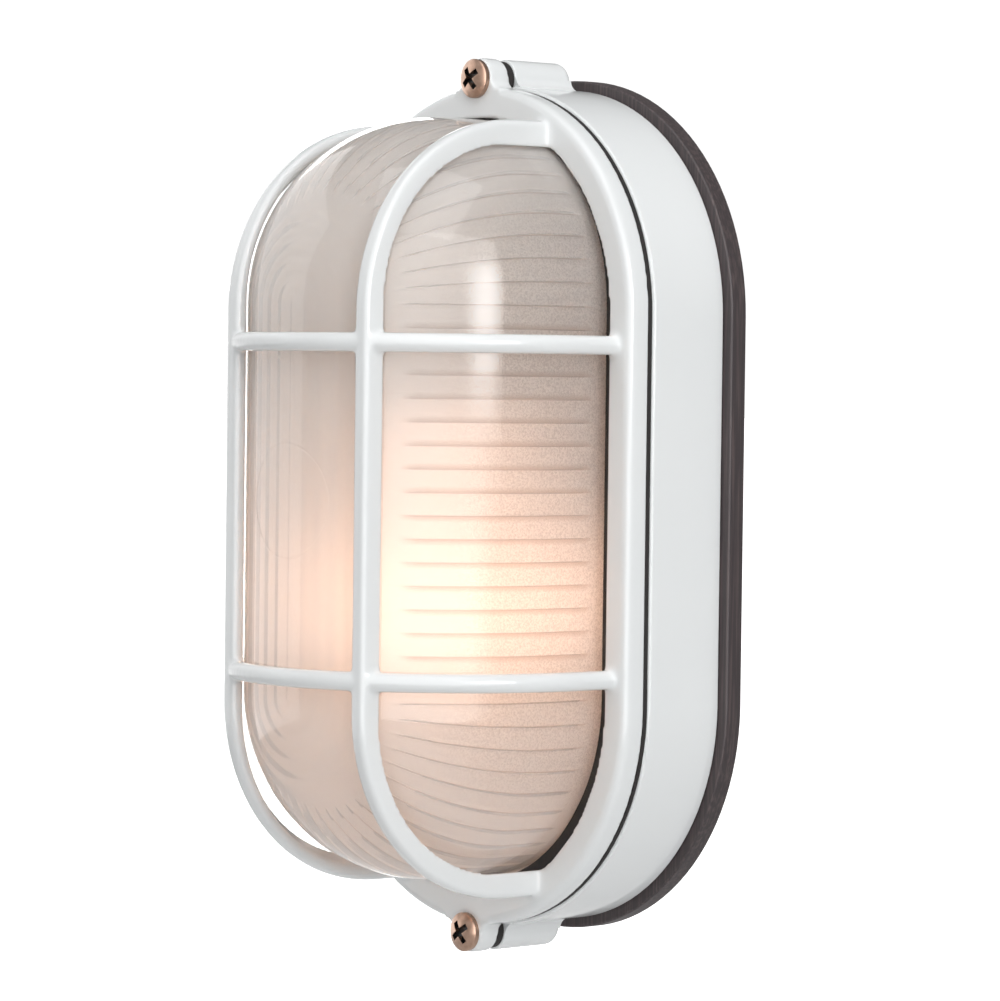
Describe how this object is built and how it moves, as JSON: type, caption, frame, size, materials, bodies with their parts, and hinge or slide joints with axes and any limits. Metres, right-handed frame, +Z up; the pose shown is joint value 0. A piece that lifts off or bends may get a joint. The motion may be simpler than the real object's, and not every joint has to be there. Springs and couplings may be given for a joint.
{
  "type": "bulkhead light",
  "caption": "Oval wall bulkhead light with a cast base on a rubber gasket, a ribbed frosted glass lens behind a cast cage guard, and a screw-in lamp inside.",
  "frame": {"origin": "centre of the cast base's back face, midway between its two wall fixing holes", "axes": "+Z up the wall, -Y out from the wall towards the viewer, +X to the viewer's right"},
  "size_m": [0.116, 0.0964, 0.216],
  "materials": {
    "white_enamel": "gloss white enamel on cast aluminium",
    "wall_rubber": "dull brownish black moulded rubber",
    "seal_rubber": "dull black moulded rubber",
    "lens_glass": "pressed glass, smooth outside, frosted and ribbed inside",
    "lamp_glass": "frosted warm white lamp",
    "porcelain": "white glazed porcelain",
    "nickel_steel": "warm nickel-plated steel",
    "zinc_steel": "zinc-plated steel",
    "brass": "plain brass",
    "lead_red": "insulated lead",
    "lead_white": "insulated lead"
  },
  "bodies": {
    "base": {"rear_gasket": "wall_rubber", "base_housing": "white_enamel", "cable_grommet": "wall_rubber", "terminal_block": "porcelain", "terminal_inserts": "brass", "terminal_screws": "brass", "line_lead": "lead_red", "neutral_lead": "lead_white", "earth_screw": "brass", "holder_bracket": "zinc_steel", "bracket_screws": "zinc_steel", "lampholder_body": "porcelain", "lampholder_shell": "brass", "lampholder_contact": "brass", "lampholder_screws": "zinc_steel", "lampholder_terminals": "brass"},
    "cover": {"lens": "lens_glass", "lens_seal": "seal_rubber", "guard": "white_enamel", "top_lug_seal": "seal_rubber", "bottom_lug_seal": "seal_rubber"},
    "upper_screw": {"top_screw": "nickel_steel"},
    "lower_screw": {"bottom_screw": "nickel_steel"},
    "lamp": {"bulb": "lamp_glass"}
  },
  "joints": [
    {"name": "cover_lift_off", "type": "slide", "parent": "base", "child": "cover", "axis": [0, -1, 0], "range_m": [0, 0.11]},
    {"name": "upper_screw_turn", "type": "hinge", "parent": "cover", "child": "upper_screw", "pos_m": [0, -0.03, 0.103], "axis": [0, -1, 0], "continuous": true},
    {"name": "lower_screw_turn", "type": "hinge", "parent": "cover", "child": "lower_screw", "pos_m": [0, -0.03, -0.103], "axis": [0, -1, 0], "continuous": true},
    {"name": "lamp_turn", "type": "hinge", "parent": "base", "child": "lamp", "pos_m": [0, -0.038, -0.021], "axis": [0, 0, 1], "continuous": true}
  ]
}
